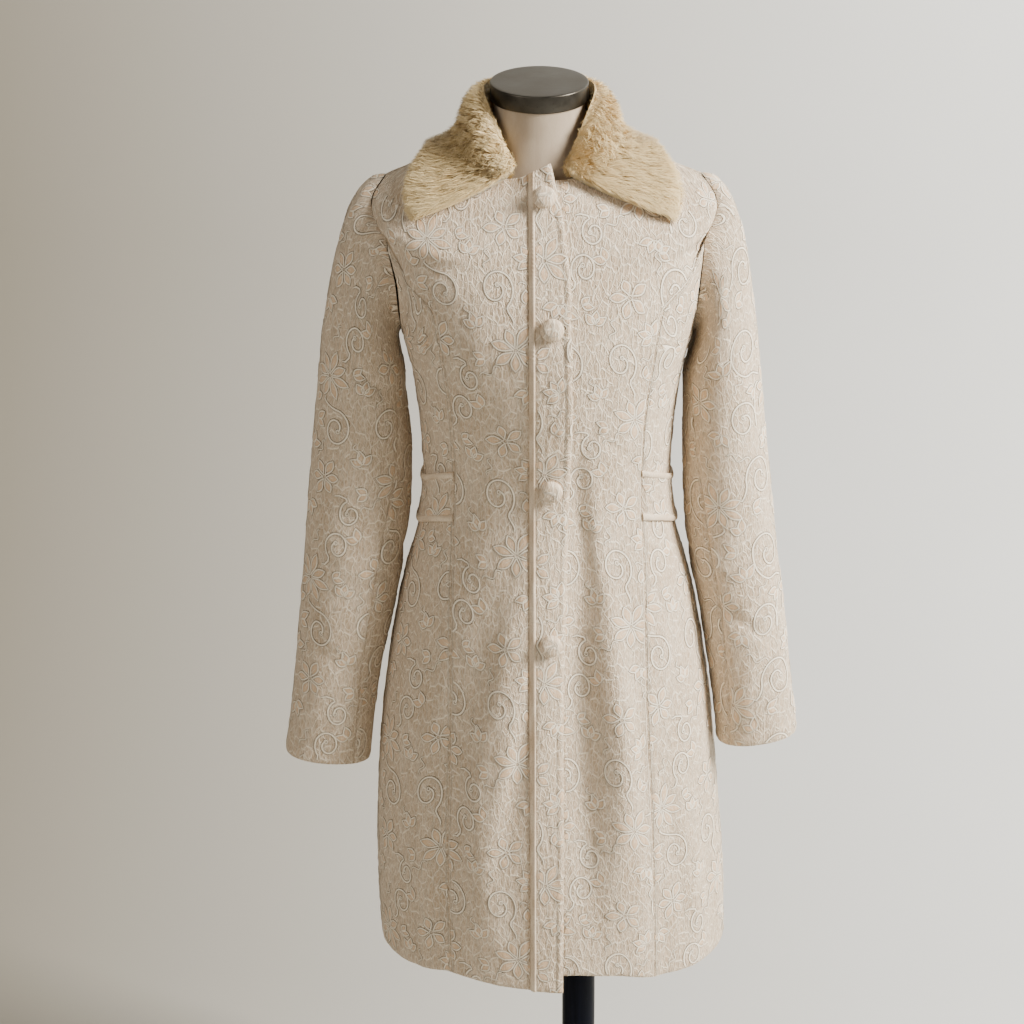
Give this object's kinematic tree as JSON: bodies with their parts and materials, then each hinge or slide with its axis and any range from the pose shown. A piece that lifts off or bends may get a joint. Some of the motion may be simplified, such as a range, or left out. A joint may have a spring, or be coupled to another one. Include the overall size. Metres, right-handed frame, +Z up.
{
  "type": "fitted coat on a limbless dress form with stand",
  "caption": "Fitted single-breasted coat with a long-pile collar and raised scroll cloth, on a limbless dress form with post and round base.",
  "frame": {"origin": "on the underside of the stand's base, below the middle of the coat", "axes": "+Z up, the coat's front faces -Y, +X is the wearer's left"},
  "size_m": [0.5829, 0.37, 1.408],
  "materials": {
    "cloth": "ivory cloth woven with raised scrolls, leaves and flowers",
    "fur": "long cream pile",
    "linen": "plain linen cover",
    "cap": "dark brushed metal",
    "pole": "dark satin lacquer"
  },
  "bodies": {
    "root": {"front_right": "cloth", "front_left": "cloth", "side_front_right": "cloth", "side_front_left": "cloth", "side_back_right": "cloth", "side_back_left": "cloth", "back": "cloth", "sleeve_upper_right": "cloth", "sleeve_upper_left": "cloth", "sleeve_under_right": "cloth", "sleeve_under_left": "cloth", "front_placket": "cloth", "placket_welt": "cloth", "waist_tab_right": "cloth", "waist_tab_left": "cloth", "waist_welt_upper_right": "cloth", "waist_welt_upper_left": "cloth", "waist_welt_lower_right": "cloth", "waist_welt_lower_left": "cloth", "fur_collar": "fur", "button_1": "cloth", "button_2": "cloth", "button_3": "cloth", "button_4": "cloth", "form_torso": "linen", "form_neck_cap": "cap", "stand_pole": "pole", "stand_base": "pole"}
  },
  "joints": []
}
